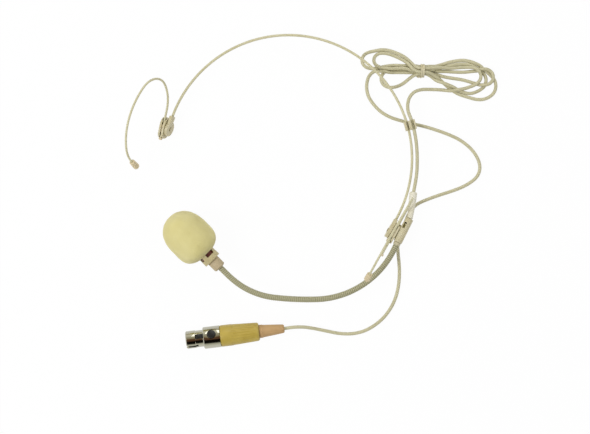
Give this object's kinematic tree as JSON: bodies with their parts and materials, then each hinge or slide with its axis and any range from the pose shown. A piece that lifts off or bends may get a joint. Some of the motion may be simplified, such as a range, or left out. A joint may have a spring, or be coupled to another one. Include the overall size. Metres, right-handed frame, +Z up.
{
  "type": "headset microphone",
  "caption": "Double-ear headset microphone: neckband with swivelling ear hooks, gooseneck boom with a foam windscreen, and a thin cable to a latching mini plug.",
  "frame": {"origin": "on the surface it lies on, under the middle of the headset's own box, cable and plug left out", "axes": "+X to the wearer's right-hand side, +Y to the back of the head, +Z up"},
  "size_m": [0.1841, 0.157, 0.0338],
  "materials": {
    "spring_steel": "bright drawn wire and turned steel",
    "beige_coating": "smooth beige coating",
    "clip_plastic": "light beige moulding",
    "tan_rubber": "soft tan rubber",
    "black_rubber": "black rubber",
    "gooseneck_beige": "ribbed beige coating",
    "cable_beige": "supple beige cable jacket",
    "microphone_beige": "satin beige",
    "capsule_metal": "turned can",
    "foam": "open-cell foam",
    "chrome": "polished plating",
    "black_plastic": "black moulding",
    "gold_contacts": "gold plated",
    "olive_plastic": "olive yellow grip",
    "red_leads": "insulated wire"
  },
  "bodies": {
    "headset": {"neckband_core": "spring_steel", "neckband_sleeve": "beige_coating", "right_band_socket": "clip_plastic", "left_band_socket": "clip_plastic", "right_clip_rivet": "spring_steel", "left_clip_rivet": "spring_steel", "boom_barrel": "clip_plastic", "boom_boot": "clip_plastic", "cable_boom_run": "cable_beige", "cable_hank": "cable_beige", "cable_tie": "clip_plastic", "cable_plug_run": "cable_beige", "plug_shell": "chrome", "plug_insert": "black_plastic", "plug_contacts": "gold_contacts", "plug_latch_spring": "spring_steel", "plug_body": "olive_plastic", "plug_clamp": "spring_steel", "plug_boot": "tan_rubber", "plug_leads": "red_leads"},
    "right_plate": {"right_hook_plate": "clip_plastic"},
    "right_bush": {"right_hook_bush": "tan_rubber"},
    "right_hook": {"right_hook_wire": "spring_steel", "right_hook_coat": "beige_coating", "right_hook_tip": "tan_rubber", "right_leg_stop": "tan_rubber"},
    "left_plate": {"left_hook_plate": "clip_plastic"},
    "left_bush": {"left_hook_bush": "tan_rubber"},
    "left_hook": {"left_hook_wire": "spring_steel", "left_hook_coat": "beige_coating", "left_hook_tip": "tan_rubber", "left_leg_stop": "tan_rubber"},
    "boom": {"boom_ferrule": "spring_steel", "boom_friction_ring": "black_rubber", "gooseneck": "gooseneck_beige", "boom_cable": "cable_beige", "mic_collar": "tan_rubber", "mic_housing": "microphone_beige", "mic_capsule": "capsule_metal", "capsule_grommet": "black_rubber", "mic_grille": "spring_steel"},
    "windscreen": {"windscreen": "foam"},
    "cable_clip": {"cable_clip": "clip_plastic"},
    "plug_latch": {"plug_latch": "black_plastic"}
  },
  "joints": [
    {"name": "right_clip_pivot", "type": "hinge", "parent": "headset", "child": "right_plate", "pos_m": [0.05803, -0.03126, 0.0048], "axis": [0.8704, -0.4924, 0], "range_deg": [-2, 15]},
    {"name": "right_hook_swivel", "type": "hinge", "parent": "right_plate", "child": "right_bush", "pos_m": [0.06007, -0.03242, 0.0071], "axis": [-0.4924, -0.8704, 0], "range_deg": [-5, 25]},
    {"name": "right_hook_slide", "type": "slide", "parent": "right_bush", "child": "right_hook", "axis": [0.4924, 0.8704, 0], "range_m": [0, 0.004]},
    {"name": "left_clip_pivot", "type": "hinge", "parent": "headset", "child": "left_plate", "pos_m": [-0.05197, 0.01948, 0.00486], "axis": [0.8937, -0.3253, 0.309], "range_deg": [-23, 7]},
    {"name": "left_hook_swivel", "type": "hinge", "parent": "left_plate", "child": "left_bush", "pos_m": [-0.05494, 0.01981, 0.00621], "axis": [0.2355, 0.9264, 0.2939], "range_deg": [-20, 30]},
    {"name": "left_hook_slide", "type": "slide", "parent": "left_bush", "child": "left_hook", "axis": [0.2355, 0.9264, 0.2939], "range_m": [-0.007, 0.0025]},
    {"name": "boom_swivel", "type": "hinge", "parent": "headset", "child": "boom", "pos_m": [0.06484, -0.0311, 0.0075], "axis": [0.4462, 0.8949, 0], "range_deg": [-10, 20]},
    {"name": "windscreen_pull", "type": "slide", "parent": "boom", "child": "windscreen", "axis": [-0.7126, 0.7006, 0.0382], "range_m": [0, 0.02]},
    {"name": "cable_clip_slide", "type": "hinge", "parent": "headset", "child": "cable_clip", "pos_m": [0.0077, 0.00468, 0.006], "axis": [0, 0, 1], "range_deg": [-10, 3]},
    {"name": "latch_press", "type": "slide", "parent": "headset", "child": "plug_latch", "axis": [0.0402, -0.3396, -0.9397], "range_m": [0, 0.0007], "stiffness_N_per_m": 150, "deforming": ["plug_latch_spring"]}
  ]
}
